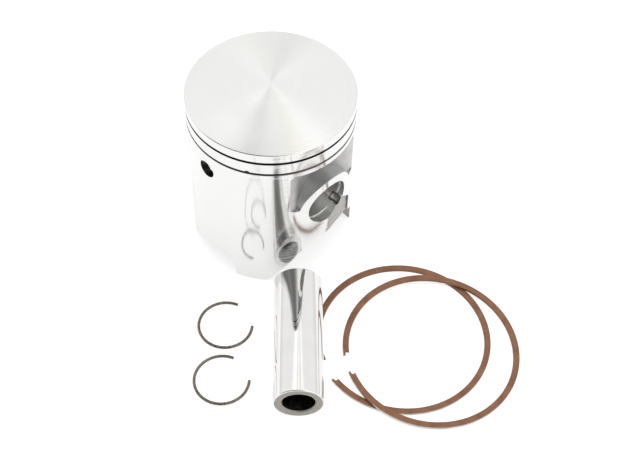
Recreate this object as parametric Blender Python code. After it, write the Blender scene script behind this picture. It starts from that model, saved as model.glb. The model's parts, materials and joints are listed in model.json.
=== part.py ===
"""A two-stroke motorcycle piston kit, taken apart and laid out on a bench.

The piston stands on its skirt with the crown up.  Its two rings, its wrist pin and
its two circlips lie loose beside it, and the two small pins that stop the rings from
turning stay pressed into the ring grooves.  Metres, +Z up, +X along the pin bore.
"""

from math import asin, atan2, cos, pi, radians, sin, sqrt

import bmesh
import bpy
from mathutils import Matrix, Vector

MM = 0.001

# ---- driving dimensions -----------------------------------------------------------
BORE = 68.0 * MM                      # the cylinder that the piston fits
WRIST_PIN_DIAMETER = 20.0 * MM
WRIST_PIN_LENGTH = 58.4 * MM
WRIST_PIN_HOLE = 13.0 * MM
WRIST_PIN_CHAMFER = 0.5 * MM
RIM_HEIGHT = 79.7 * MM                # skirt foot to crown edge
DOME_RISE = 3.8 * MM                  # crown edge to crown centre
WRIST_PIN_HEIGHT = 41.2 * MM          # skirt foot to pin bore axis

# ---- piston -----------------------------------------------------------------------
SKIRT_RADIUS = BORE / 2
LAND_RADIUS = SKIRT_RADIUS - 0.05 * MM
RIM_CHAMFER = 0.3 * MM
FOOT_CHAMFER = 0.4 * MM
RING_DEPTH_BELOW_RIM = (4.75 * MM, 10.95 * MM)
RING_WIDTH = 2.5 * MM                 # radial
RING_THICKNESS = 1.2 * MM             # axial
GROOVE_HEIGHT = RING_THICKNESS + 0.05 * MM
GROOVE_RADIUS = SKIRT_RADIUS - RING_WIDTH - 0.4 * MM
SKIRT_TOP_BELOW_GROOVE = 1.2 * MM
FACETS = 72                           # sides of the round piston faces
BORE_FACETS = 48
BEYOND = 40.0 * MM                    # cutters reach this far from the axis, past the skirt
BELOW = -2.0 * MM                     # and this far under the skirt's foot

CAVITY_RADIUS = SKIRT_RADIUS - 3.0 * MM
CEILING = RIM_HEIGHT + DOME_RISE - 7.3 * MM
CEILING_STEPS = (                     # (radius, height) down the curved ceiling
    (18.0 * MM, CEILING - 0.8 * MM), (24.0 * MM, CEILING - 3.0 * MM),
    (27.0 * MM, CEILING - 6.5 * MM), (27.6 * MM, 64.0 * MM), (CAVITY_RADIUS, 57.0 * MM))

BOSS_RADIUS = 13.9 * MM
ROD_GAP = 28.0 * MM                   # between the inner boss faces
BOSS_ROOT = 27.0 * MM                 # inner face of the thick wall under a boss
BOSS_ROOT_HALF_WIDTH = 13.0 * MM
BOSS_ROOT_BOTTOM = 10.0 * MM
PIN_BORE_RADIUS = WRIST_PIN_DIAMETER / 2 + 0.01 * MM
CIRCLIP_WIRE = 1.2 * MM
CIRCLIP_FREE_DIAMETER = 23.25 * MM
CIRCLIP_GROOVE_WIDTH = 1.3 * MM
CIRCLIP_GROOVE_CENTRE = WRIST_PIN_LENGTH / 2 + CIRCLIP_WIRE / 2 + 0.2 * MM
CIRCLIP_GROOVE_RADIUS = PIN_BORE_RADIUS + 0.75 * MM

POCKET_PLAN = (                       # (x, y) from the middle of the floor to the edge
    (25.5 * MM, 0.0), (26.2 * MM, 5.0 * MM), (28.0 * MM, 10.0 * MM),
    (29.3 * MM, 14.0 * MM), (29.4 * MM, 17.2 * MM))
POCKET_HALF_WIDTH = POCKET_PLAN[-1][1]
POCKET_BOTTOM = 44.5 * MM
POCKET_TOP = 66.0 * MM
POCKET_CORNER = 3.0 * MM
POCKET_WALL_X = 21.5 * MM             # inner face of the wall behind a pocket
POCKET_WALL_BOTTOM = 39.5 * MM

SKIRT_ARCH = (                        # (x, z) along the arch at front and back
    (12.1 * MM, 0.0), (11.6 * MM, 6.4 * MM), (11.0 * MM, 9.2 * MM), (10.0 * MM, 11.2 * MM),
    (8.3 * MM, 12.3 * MM), (5.4 * MM, 12.6 * MM), (0.5 * MM, 11.9 * MM),
    (-4.7 * MM, 10.4 * MM), (-8.7 * MM, 9.1 * MM), (-13.4 * MM, 6.0 * MM), (-19.4 * MM, 0.0))
SIDE_ARCH = (                         # (y, z) along the arch under each boss
    (-25.3 * MM, 0.0), (-11.8 * MM, 19.4 * MM), (-9.6 * MM, 21.2 * MM), (-6.0 * MM, 22.3 * MM),
    (0.0, 22.8 * MM), (6.0 * MM, 22.3 * MM), (9.6 * MM, 21.5 * MM), (15.6 * MM, 20.6 * MM),
    (24.0 * MM, 9.2 * MM), (24.6 * MM, 0.0))
SKIRT_HOLE_RADIUS = 3.9 * MM
SKIRT_HOLE_HEIGHT = 59.5 * MM
SKIRT_HOLE_ANGLE = -91.0

# A flat beside each bore and a slot in its edge let a pick reach the circlip.
CLIP_FLAT_ANGLE = 15.6                # of the flat's face, from the bore axis
CLIP_FLAT_DISTANCE = 32.83 * MM       # from the piston axis
CLIP_FLAT_OUTLINE = (                 # (across, height) on the flat
    (-9.0 * MM, 12.0 * MM), (6.4 * MM, 12.0 * MM), (6.4 * MM, 30.4 * MM),
    (-1.0 * MM, 37.6 * MM), (-4.0 * MM, 36.0 * MM), (-9.0 * MM, 31.0 * MM))
CLIP_SLOT_ANGLE = -42.0               # about the bore axis, below the horizontal
CLIP_SLOT_CENTRE = 10.3 * MM          # from the bore axis
CLIP_SLOT_RADIUS = 2.0 * MM
CLIP_SLOT_INNER = 27.5 * MM

# ---- ring locating pins: (angle about the piston axis, groove) --------------------
LOCATING_PINS = {"second_ring_locating_pin": (-58.5, 1), "top_ring_locating_pin": (121.5, 0)}
LOCATING_PIN_RADIUS = 0.75 * MM
LOCATING_PIN_SHIFT = 0.3 * MM         # its axis lies above the middle of the groove
LOCATING_HOLE_RADIUS = 0.95 * MM
LOCATING_HOLE_INNER = 28.5 * MM
LOCATING_PIN_INNER = 28.8 * MM
LOCATING_PIN_OUTER = 33.3 * MM

# ---- loose pieces, as places measured from the piston axis ------------------------
RING_FREE_RADIUS = 36.07 * MM
RING_HORN_WIDTH = 0.9 * MM
RING_HORN_LENGTH = 1.5 * MM
RING_FACETS = 88
RING_REST_GAP = 0.1 * MM              # left where the upper ring rests on the lower
SECOND_RING_PLACE = Vector((82.76, -3.94, 0)) * MM
SECOND_RING_GAP = (-105.8, 14.0)      # middle and width of the gap, degrees
TOP_RING_PLACE = Vector((95.08, -0.34, 0)) * MM
TOP_RING_GAP = (-121.0, 13.0)

WRIST_PIN_NEAR_END = Vector((80.02, -60.58, 0)) * MM
WRIST_PIN_HEADING = 136.45            # from the near end to the far end, degrees

CIRCLIP_STEPS, CIRCLIP_SIDES = 40, 8
CIRCLIP_PLACES = {
    "rear_circlip": (Vector((28.44, -52.80, 0)) * MM, (76.9, 68.0)),
    "front_circlip": (Vector((46.93, -71.26, 0)) * MM, (78.7, 68.6)),
}


# ---- small helpers ----------------------------------------------------------------
def clear_scene():
    for item in list(bpy.data.objects):
        bpy.data.objects.remove(item, do_unlink=True)


def metal(name, colour, roughness):
    """A metallic Principled material in one colour."""
    material = bpy.data.materials.new(name)
    material.use_nodes = True
    shader = material.node_tree.nodes["Principled BSDF"]
    shader.inputs["Base Color"].default_value = (*colour, 1)
    shader.inputs["Roughness"].default_value = roughness
    shader.inputs["Metallic"].default_value = 1
    return material


def circle_points(radius, start, end, steps, centre=(0, 0)):
    """Points of an arc in a plane, from one angle to another in radians."""
    turn = (end - start) / steps
    angles = [start + turn * i for i in range(steps + 1)]
    return [(centre[0] + radius * cos(a), centre[1] + radius * sin(a)) for a in angles]


def finish_object(name, mesh_builder, material=None, sharp=30):
    """Turn a bmesh into a smooth-shaded object with its normals outwards."""
    bmesh.ops.remove_doubles(mesh_builder, verts=mesh_builder.verts, dist=1e-7)
    bmesh.ops.recalc_face_normals(mesh_builder, faces=mesh_builder.faces)
    mesh = bpy.data.meshes.new(name)
    mesh_builder.to_mesh(mesh)
    mesh_builder.free()
    mesh.shade_smooth()
    mesh.set_sharp_from_angle(angle=radians(sharp))
    item = bpy.data.objects.new(name, mesh)
    bpy.context.scene.collection.objects.link(item)
    if material:
        mesh.materials.append(material)
    return item


def turned(name, profile, facets, material=None):
    """A solid of revolution about Z from (radius, height) points, top to bottom."""
    mesh_builder = bmesh.new()
    points = [mesh_builder.verts.new((r, 0, z)) for r, z in profile]
    edges = [mesh_builder.edges.new(pair) for pair in zip(points, points[1:])]
    bmesh.ops.spin(mesh_builder, geom=points + edges, cent=(0, 0, 0), axis=(0, 0, 1),
                   angle=2 * pi, steps=facets, use_merge=True)
    return finish_object(name, mesh_builder, material)


def extruded(name, outline, low, high, material=None):
    """A flat outline in XY, given a thickness along Z."""
    mesh_builder = bmesh.new()
    bottom = [mesh_builder.verts.new((x, y, low)) for x, y in outline]
    top = [mesh_builder.verts.new((x, y, high)) for x, y in outline]
    mesh_builder.faces.new(bottom)
    mesh_builder.faces.new(top)
    for i in range(len(outline)):
        mesh_builder.faces.new((bottom[i - 1], bottom[i], top[i], top[i - 1]))
    return finish_object(name, mesh_builder, material)


def cylinder(name, radius, low, high, facets):
    return extruded(name, circle_points(radius, 0, 2 * pi, facets)[:-1], low, high)


def box(name, low, high):
    outline = [(low[0], low[1]), (high[0], low[1]), (high[0], high[1]), (low[0], high[1])]
    return extruded(name, outline, low[2], high[2])


def rounded_rectangle(half_width, bottom, top, corner, steps=4):
    """An upright rectangle about X = 0 with rounded corners."""
    outline = []
    for quarter, (x, y) in enumerate(((half_width - corner, top - corner),
                                      (corner - half_width, top - corner),
                                      (corner - half_width, bottom + corner),
                                      (half_width - corner, bottom + corner))):
        start = quarter * pi / 2
        outline += circle_points(corner, start, start + pi / 2, steps, (x, y))
    return outline


ALONG_X = Matrix(((0, 0, 1, 0), (1, 0, 0, 0), (0, 1, 0, 0), (0, 0, 0, 1)))   # XY to YZ
ALONG_Y = Matrix(((1, 0, 0, 0), (0, 0, -1, 0), (0, 1, 0, 0), (0, 0, 0, 1)))  # XY to XZ


def as_cutter(item, turn=None):
    """Hide a shape from the result and turn it where it is needed."""
    item.hide_render = True
    item.display_type = "WIRE"
    if turn is not None:
        item.data.transform(turn)
    return item


def combine(target, cutter, operation="DIFFERENCE"):
    modifier = target.modifiers.new(cutter.name, "BOOLEAN")
    modifier.operation = operation
    modifier.solver = "EXACT"
    modifier.object = cutter


# ---- the piston -------------------------------------------------------------------
def piston_profile():
    """Outside of the piston, crown centre to skirt foot, then back to the axis."""
    rim = LAND_RADIUS - RIM_CHAMFER
    sphere = (rim ** 2 + DOME_RISE ** 2) / (2 * DOME_RISE)
    crown_top = RIM_HEIGHT + DOME_RISE
    rings = 6
    profile = []
    for i in range(rings + 1):
        radius = rim * i / rings
        profile.append((radius, crown_top - sphere + sqrt(sphere ** 2 - radius ** 2)))
    profile.append((LAND_RADIUS, RIM_HEIGHT - RIM_CHAMFER))
    for depth in RING_DEPTH_BELOW_RIM:
        top = RIM_HEIGHT - depth + GROOVE_HEIGHT / 2
        bottom = top - GROOVE_HEIGHT
        profile += [(LAND_RADIUS, top), (GROOVE_RADIUS, top)]
        profile += [(GROOVE_RADIUS, bottom), (LAND_RADIUS, bottom)]
    skirt_top = bottom - SKIRT_TOP_BELOW_GROOVE
    profile += [(LAND_RADIUS, skirt_top), (SKIRT_RADIUS, skirt_top - FOOT_CHAMFER)]
    profile += [(SKIRT_RADIUS, FOOT_CHAMFER), (SKIRT_RADIUS - FOOT_CHAMFER, 0), (0, 0)]
    return profile


def on_both_sides(make):
    """A shape on the +X side and its mirror image on the -X side, as cutters."""
    pair = []
    for side in (1, -1):
        shape = as_cutter(make(), Matrix.Diagonal((side, 1, 1, 1)))
        turn_outwards(shape)
        pair.append(shape)
    return pair


def turn_outwards(item):
    """A mirrored copy turns inside out, so its normals are worked out again."""
    mesh_builder = bmesh.new()
    mesh_builder.from_mesh(item.data)
    bmesh.ops.recalc_face_normals(mesh_builder, faces=mesh_builder.faces)
    mesh_builder.to_mesh(item.data)
    mesh_builder.free()


def boss():
    """A wrist-pin boss, from its inner face to beyond the skirt."""
    item = cylinder("boss", BOSS_RADIUS, ROD_GAP / 2, BEYOND, BORE_FACETS)
    item.data.transform(Matrix.Translation((0, 0, WRIST_PIN_HEIGHT)) @ ALONG_X)
    return item


def wall_behind_pocket():
    half_width = sqrt(CAVITY_RADIUS ** 2 - POCKET_WALL_X ** 2) + 0.5 * MM
    return box("pocket_wall", (POCKET_WALL_X, -half_width, POCKET_WALL_BOTTOM),
               (BEYOND, half_width, RIM_HEIGHT + 2 * DOME_RISE))


def root_of_boss():
    return box("boss_root", (BOSS_ROOT, -BOSS_ROOT_HALF_WIDTH, BOSS_ROOT_BOTTOM),
               (BEYOND + MM, BOSS_ROOT_HALF_WIDTH, WRIST_PIN_HEIGHT))


def cavity():
    """The hollow under the crown, with the bosses and the side walls left standing."""
    profile = [(0, CEILING), *CEILING_STEPS, (CAVITY_RADIUS, BELOW), (0, BELOW)]
    # Half a facet round, so that no corner of it meets a corner of the outside.
    hollow = as_cutter(turned("cavity", profile, FACETS), Matrix.Rotation(pi / FACETS, 4, "Z"))
    for make in (boss, wall_behind_pocket, root_of_boss):
        for keep in on_both_sides(make):
            combine(hollow, keep)
    return hollow


def pocket():
    """The forged recess above a boss: a shallow V in plan, with round corners."""
    half = [*POCKET_PLAN, (BEYOND, POCKET_HALF_WIDTH + 2 * MM)]
    plan = [(x, -y) for x, y in reversed(half)] + half[1:]
    return extruded("pocket", plan, 0, RIM_HEIGHT)


def pocket_outline():
    outline = rounded_rectangle(POCKET_HALF_WIDTH, POCKET_BOTTOM, POCKET_TOP, POCKET_CORNER)
    item = extruded("pocket_outline", outline, ROD_GAP / 2, BEYOND + 2 * MM)
    item.data.transform(ALONG_X)
    return item


def pockets():
    """Both recesses; each boss keeps its round rim."""
    tools = on_both_sides(pocket)
    for tool, outline, rim in zip(tools, on_both_sides(pocket_outline), on_both_sides(boss)):
        combine(tool, outline, "INTERSECT")
        combine(tool, rim)
    return tools


def pin_bore():
    """The wrist-pin bore and its two circlip grooves, as one turned cutter."""
    groove_in = CIRCLIP_GROOVE_CENTRE - CIRCLIP_GROOVE_WIDTH / 2
    groove_out = CIRCLIP_GROOVE_CENTRE + CIRCLIP_GROOVE_WIDTH / 2
    half = [(PIN_BORE_RADIUS, BEYOND), (PIN_BORE_RADIUS, groove_out),
            (CIRCLIP_GROOVE_RADIUS, groove_out), (CIRCLIP_GROOVE_RADIUS, groove_in),
            (PIN_BORE_RADIUS, groove_in)]
    profile = [(0, BEYOND)] + half + [(r, -z) for r, z in reversed(half)] + [(0, -BEYOND)]
    place = Matrix.Translation((0, 0, WRIST_PIN_HEIGHT))
    return as_cutter(turned("pin_bore", profile, BORE_FACETS), place @ ALONG_X)


def arch_outline(points):
    """An arch, closed below the foot."""
    return [(points[0][0], BELOW), *points, (points[-1][0], BELOW)]


def skirt_arch():
    """The sloping arch that is cut through the front and the back of the skirt."""
    return as_cutter(extruded("skirt_arch", arch_outline(SKIRT_ARCH), -BEYOND, BEYOND), ALONG_Y)


def side_arch():
    """The wide opening under both bosses, which leaves the skirt on four feet."""
    return as_cutter(extruded("side_arch", arch_outline(SIDE_ARCH), -BEYOND, BEYOND), ALONG_X)


def clip_flat():
    flat = extruded("clip_flat", CLIP_FLAT_OUTLINE, CLIP_FLAT_DISTANCE, BEYOND)
    flat.data.transform(Matrix.Rotation(radians(CLIP_FLAT_ANGLE), 4, "Z") @ ALONG_X)
    return flat


def clip_slot():
    slot = cylinder("clip_slot", CLIP_SLOT_RADIUS, CLIP_SLOT_INNER, BEYOND, 16)
    angle = radians(CLIP_SLOT_ANGLE)
    place = Matrix.Translation((0, CLIP_SLOT_CENTRE * cos(angle),
                                WRIST_PIN_HEIGHT + CLIP_SLOT_CENTRE * sin(angle)))
    slot.data.transform(place @ ALONG_X)
    return slot


def radial_turn(angle, height):
    """Lay a shape that was made along Z out along a spoke of the piston."""
    spoke = Matrix.Rotation(radians(angle), 4, "Z") @ Matrix.Rotation(pi / 2, 4, "Y")
    return Matrix.Translation((0, 0, height)) @ spoke


def locating_pin_height(groove):
    return RIM_HEIGHT - RING_DEPTH_BELOW_RIM[groove] + LOCATING_PIN_SHIFT


def make_piston(material):
    piston = turned("piston", piston_profile(), FACETS, material)
    combine(piston, cavity())
    tools = pockets() + [pin_bore(), skirt_arch(), side_arch()]
    for tool in tools + on_both_sides(clip_flat) + on_both_sides(clip_slot):
        combine(piston, tool)
    hole = cylinder("skirt_hole", SKIRT_HOLE_RADIUS, 26 * MM, BEYOND, 24)
    combine(piston, as_cutter(hole, radial_turn(SKIRT_HOLE_ANGLE, SKIRT_HOLE_HEIGHT)))
    for name, (angle, groove) in LOCATING_PINS.items():
        hole = cylinder(f"hole_for_{name}", LOCATING_HOLE_RADIUS, LOCATING_HOLE_INNER, BEYOND, 16)
        combine(piston, as_cutter(hole, radial_turn(angle, locating_pin_height(groove))))
    return piston


def make_locating_pins(material):
    pins = []
    for name, (angle, groove) in LOCATING_PINS.items():
        pin = cylinder(name, LOCATING_PIN_RADIUS, LOCATING_PIN_INNER, LOCATING_PIN_OUTER, 16)
        pin.data.transform(radial_turn(angle, locating_pin_height(groove)))
        pin.data.materials.append(material)
        pins.append(pin)
    return pins


# ---- the loose pieces -------------------------------------------------------------
def make_ring(name, gap, material):
    """A piston ring: an open circle whose ends are stepped to hook round a pin."""
    middle, width = radians(gap[0]), radians(gap[1])
    horn = RING_HORN_LENGTH / RING_FREE_RADIUS
    start, end = middle + width / 2, middle + 2 * pi - width / 2
    step_radius = RING_FREE_RADIUS - RING_HORN_WIDTH
    inner_radius = RING_FREE_RADIUS - RING_WIDTH
    outline = circle_points(RING_FREE_RADIUS, start, end, RING_FACETS)
    outline += circle_points(step_radius, end, end - horn, 1)
    outline += circle_points(inner_radius, end - horn, start + horn, RING_FACETS)
    outline += circle_points(step_radius, start + horn, start, 1)
    return extruded(name, outline, 0, RING_THICKNESS, material)


def lay_top_ring(ring):
    """Rest the top ring on the second one, with its far edge on the bench."""
    apart = TOP_RING_PLACE - SECOND_RING_PLACE
    inner_radius = RING_FREE_RADIUS - RING_WIDTH
    # The two touch first where this ring's inner edge crosses the other's outer edge.
    crossing = (RING_FREE_RADIUS ** 2 - inner_radius ** 2) / (2 * apart.length)
    support = apart.length / 2 - crossing     # from the ring's middle to the crossings
    lift = RING_THICKNESS + RING_REST_GAP
    tilt = asin(lift / (RING_FREE_RADIUS + support))
    heading = atan2(apart.y, apart.x)
    ring.rotation_euler = (Matrix.Rotation(heading, 4, "Z") @ Matrix.Rotation(tilt, 4, "Y")
                           @ Matrix.Rotation(-heading, 4, "Z")).to_euler()
    ring.location = TOP_RING_PLACE + Vector((0, 0, RING_FREE_RADIUS * sin(tilt)))


def make_wrist_pin(material):
    radius, hole, half = WRIST_PIN_DIAMETER / 2, WRIST_PIN_HOLE / 2, WRIST_PIN_LENGTH / 2
    edge = WRIST_PIN_CHAMFER
    profile = [(hole, half - edge), (hole + edge, half), (radius - edge, half),
               (radius, half - edge), (radius, edge - half), (radius - edge, -half),
               (hole + edge, -half), (hole, edge - half), (hole, half - edge)]
    pin = turned("wrist_pin", profile, BORE_FACETS, material)
    heading = radians(WRIST_PIN_HEADING)
    pin.rotation_euler = (pi / 2, 0, heading - pi / 2)
    along = Vector((cos(heading), sin(heading), 0))
    pin.location = WRIST_PIN_NEAR_END + along * half + Vector((0, 0, radius))
    return pin


def make_circlip(name, gap, material):
    """A plain round-wire clip, open over about a fifth of its turn."""
    middle, width = radians(gap[0]), radians(gap[1])
    radius, wire = CIRCLIP_FREE_DIAMETER / 2 - CIRCLIP_WIRE / 2, CIRCLIP_WIRE / 2
    steps, sides = CIRCLIP_STEPS, CIRCLIP_SIDES
    start, turn = middle + width / 2, (2 * pi - width) / steps
    mesh_builder = bmesh.new()
    sections = []
    for i in range(steps + 1):
        outward = Vector((cos(start + i * turn), sin(start + i * turn), 0))
        section = circle_points(wire, 0, 2 * pi, sides)[:-1]
        sections.append([mesh_builder.verts.new(outward * (radius + u) + Vector((0, 0, v)))
                         for u, v in section])
    for near, far in zip(sections, sections[1:]):
        for i in range(sides):
            j = (i + 1) % sides
            mesh_builder.faces.new((near[i], near[j], far[j], far[i]))
    mesh_builder.faces.new(sections[0])
    mesh_builder.faces.new(sections[-1])
    return finish_object(name, mesh_builder, material)


# ---- the kit ----------------------------------------------------------------------
def bench_middle():
    """Middle of the whole layout, measured from the piston axis."""
    low = Vector((-SKIRT_RADIUS, min(place.y for place, gap in CIRCLIP_PLACES.values())
                  - CIRCLIP_FREE_DIAMETER / 2, 0))
    high = Vector((TOP_RING_PLACE.x + RING_FREE_RADIUS, TOP_RING_PLACE.y + RING_FREE_RADIUS, 0))
    return (low + high) / 2


def make_kit():
    clear_scene()
    layout = bpy.data.objects.new("kit_layout", None)
    bpy.context.scene.collection.objects.link(layout)
    layout.location = -bench_middle()

    machined = metal("machined_aluminium", (0.80, 0.80, 0.79), 0.2)
    hardened = metal("ground_steel", (0.74, 0.73, 0.72), 0.12)
    phosphated = metal("phosphated_iron", (0.27, 0.13, 0.07), 0.5)
    spring_steel = metal("spring_steel", (0.25, 0.23, 0.18), 0.35)
    plain_steel = metal("plain_steel", (0.5, 0.49, 0.47), 0.3)

    pieces = [make_piston(machined)] + make_locating_pins(plain_steel)
    pieces.append(make_wrist_pin(hardened))
    second_ring = make_ring("second_ring", SECOND_RING_GAP, phosphated)
    second_ring.location = SECOND_RING_PLACE
    top_ring = make_ring("top_ring", TOP_RING_GAP, phosphated)
    lay_top_ring(top_ring)
    pieces += [second_ring, top_ring]
    for name, (place, gap) in CIRCLIP_PLACES.items():
        clip = make_circlip(name, gap, spring_steel)
        clip.location = place + Vector((0, 0, CIRCLIP_WIRE / 2))
        pieces.append(clip)
    for item in list(bpy.data.objects):
        if item.type == "MESH":
            item.parent = layout


make_kit()
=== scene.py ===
# The packed model is a fixed frame. Every fine piece below is made around it, takes
# its place from it, and rides on the body that it belongs to. All sizes are in metres.

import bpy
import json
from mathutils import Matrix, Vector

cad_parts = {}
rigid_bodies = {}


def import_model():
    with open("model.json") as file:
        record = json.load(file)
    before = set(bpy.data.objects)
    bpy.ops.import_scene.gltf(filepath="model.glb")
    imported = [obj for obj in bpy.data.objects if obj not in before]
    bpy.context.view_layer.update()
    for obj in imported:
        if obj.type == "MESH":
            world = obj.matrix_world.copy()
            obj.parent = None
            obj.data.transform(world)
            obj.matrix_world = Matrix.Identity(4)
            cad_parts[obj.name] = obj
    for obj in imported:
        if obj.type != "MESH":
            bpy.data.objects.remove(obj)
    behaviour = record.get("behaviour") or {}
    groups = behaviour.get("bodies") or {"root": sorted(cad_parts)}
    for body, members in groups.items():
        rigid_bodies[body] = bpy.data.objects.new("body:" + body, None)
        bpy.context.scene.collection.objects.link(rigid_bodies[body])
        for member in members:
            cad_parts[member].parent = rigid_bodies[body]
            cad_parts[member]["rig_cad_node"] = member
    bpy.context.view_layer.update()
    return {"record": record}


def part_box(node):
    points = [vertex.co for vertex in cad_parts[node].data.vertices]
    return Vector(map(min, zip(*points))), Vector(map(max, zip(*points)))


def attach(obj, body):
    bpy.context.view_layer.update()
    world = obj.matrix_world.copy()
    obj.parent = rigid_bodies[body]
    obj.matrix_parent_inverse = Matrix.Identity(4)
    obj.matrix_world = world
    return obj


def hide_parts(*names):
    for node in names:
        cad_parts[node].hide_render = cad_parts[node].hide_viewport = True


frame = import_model()

import json
from math import atan2, cos, hypot, pi, radians, sin, sqrt

import bmesh
import bpy
from mathutils import Matrix, Vector

MM = 0.001

# %% [markdown]
# ## Reading sizes from the frame
# A node's box gives its place and its size, and the record's openings and mounts give
# what lies inside it. So a change in the design moves the fine pieces too.

# %% Places and sizes
openings = {entry["name"]: entry["box_m"] for entry in frame["record"]["physics"]["openings"]}
mounts = {entry["name"]: entry for entry in frame["record"]["mounts"]}

piston_low, piston_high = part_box("piston")
PISTON_PLACE = Vector(((piston_low.x + piston_high.x) / 2, (piston_low.y + piston_high.y) / 2, 0))
SKIRT_RADIUS = (piston_high.x - piston_low.x) / 2
CROWN_TOP = piston_high.z
BORE_HEIGHT = (openings["wrist_pin_bore"][0][2] + openings["wrist_pin_bore"][1][2]) / 2
ROD_FACE = abs(mounts["rod_side_face_right"]["pos_m"][0] - PISTON_PLACE.x)
PIN_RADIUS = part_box("wrist_pin")[1].z / 2
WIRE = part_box("front_circlip")[1].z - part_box("front_circlip")[0].z
RING_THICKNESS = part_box("second_ring")[1].z
print(f"piston {SKIRT_RADIUS * 2 / MM:.1f} mm across, {CROWN_TOP / MM:.1f} mm tall,",
      f"with a {PIN_RADIUS * 2 / MM:.1f} mm pin and {RING_THICKNESS / MM:.1f} mm rings")

# %% [markdown]
# ## Sums on a surface
# Shader maths could be wired node by node, but it reads best as sums. `Term` wraps one
# socket, and each operator adds the Math node that does it.

# %% Terms
class Term:
    """A value that varies over a surface."""

    def __init__(self, finish, socket):
        self.finish = finish
        self.socket = socket

    def __add__(self, other):
        return self.finish.math("ADD", self, other)

    def __sub__(self, other):
        return self.finish.math("SUBTRACT", self, other)

    def __rsub__(self, other):
        return self.finish.math("SUBTRACT", other, self)

    def __mul__(self, other):
        return self.finish.math("MULTIPLY", self, other)

    def __truediv__(self, other):
        return self.finish.math("DIVIDE", self, other)

    __radd__ = __add__
    __rmul__ = __mul__


print("a term knows:", ", ".join(name for name in vars(Term) if name.startswith("__r")))

# %% [markdown]
# `Finish` holds one shader and its node tree, for a material or for the sky. Constants
# go straight on the shader's sockets, and the method `add` makes every kind of node.

# %% Finishes
class Finish:
    """A shader with constants on its sockets, and terms added to it."""

    def __init__(self, tree, shader_name):
        self.nodes = tree.nodes
        self.links = tree.links
        self.shader = self.nodes[shader_name]

    def feed(self, socket, value):
        if isinstance(value, Term):
            self.links.new(value.socket, socket)
        else:
            socket.default_value = value

    def set(self, **values):
        for name, value in values.items():
            self.feed(self.shader.inputs[name.replace("_", " ")], value)

    def add(self, kind, settings=None, sockets=None, output=0):
        """Any node: its settings first, then the values or links of its sockets."""
        node = self.nodes.new("ShaderNode" + kind)
        for key, value in (settings or {}).items():
            setattr(node, key, value)
        for key, value in (sockets or {}).items():
            self.feed(node.inputs[key], value)
        return Term(self, node.outputs[output])

    def math(self, operation, *values):
        return self.add("Math", {"operation": operation}, dict(enumerate(values)))

    def vector(self, operation, *values, output=0):
        return self.add("VectorMath", {"operation": operation}, dict(enumerate(values)), output)

    def scaled(self, vector, amount):
        return self.add("VectorMath", {"operation": "SCALE"}, {0: vector, "Scale": amount})

    def place(self, centre=(0, 0, 0)):
        """Object coordinates, in metres, measured from a centre."""
        coordinates = self.add("TexCoord", output="Object")
        return self.vector("SUBTRACT", coordinates, tuple(centre))

    def noise(self, place, size, detail=3):
        """Cloudy values around 0.5 with features of a size in metres."""
        sockets = {"Vector": place, "Scale": 1 / size, "Detail": detail, "Roughness": 0.55}
        return self.add("TexNoise", None, sockets)

    def draw(self, number):
        """One random value for each whole number."""
        whole = self.math("FLOOR", number)
        return self.add("TexWhiteNoise", {"noise_dimensions": "1D"}, {"W": whole})

    def blend(self, factor, low, high):
        """One colour fading to another."""
        sockets = {0: factor, 6: (*low, 1), 7: (*high, 1)}
        return self.add("Mix", {"data_type": "RGBA"}, sockets, output=2)

    def between(self, value, low, high, to_low=0.0, to_high=1.0):
        """A value carried from one range to another, and held at its ends."""
        sockets = {"Value": value, "From Min": low, "From Max": high,
                   "To Min": to_low, "To Max": to_high}
        return self.add("MapRange", {"clamp": True}, sockets)

    def spread(self, noise, to_low=0.0, to_high=1.0):
        """Noise, which keeps near 0.5, carried over a whole range."""
        return self.between(noise, 0.3, 0.7, to_low, to_high)

    def bump(self, height, strength, distance):
        sockets = {"Height": height, "Strength": strength, "Distance": distance}
        self.set(Normal=self.add("Bump", None, sockets))


FINISH_MATERIALS = {}


def metal(name, colour, roughness, metallic=1.0, **constants):
    """A new metal, as a Finish that is ready for its detail."""
    material = bpy.data.materials.new(name)
    material.use_nodes = True
    FINISH_MATERIALS[name] = material
    finish = Finish(material.node_tree, "Principled BSDF")
    finish.set(Base_Color=(*colour, 1), Roughness=roughness, Metallic=metallic, **constants)
    return finish


print("a finish can add any node, and knows maths, vectors, noise, blends and bumps")

# %% [markdown]
# ## Turned aluminium
# A lathe leaves fine rings. They are too small to see one by one, but they smear each
# reflection across the rings: the crown shows fans of light, and the skirt shows tall
# streaks. Constant anisotropy on the shader does the smear, because its default
# direction runs round the middle of the piece, and a quarter turn points it across the
# rings. The normal comes from the true sphere or cylinder, so no facet shows, and each
# ring leans it a little. The crown's rings lean at random, which draws the faint rings
# themselves. The skirt's tool mark is a sawtooth: most of its facets face a little up
# and the rest a little down, so the skirt shows everything beside it twice.

# %% Turned finishes
ACROSS_THE_RINGS = 0.25      # of a whole turn
DOWNWARD_SHARE = 0.3         # of the facets of the skirt's sawtooth


def leaned(finish, direction, toward, slope):
    """The normal of a smooth turned face, leaned a little by each lathe ring."""
    return finish.vector("NORMALIZE", finish.vector("ADD", direction,
                                                    finish.scaled(toward, slope)))


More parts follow.
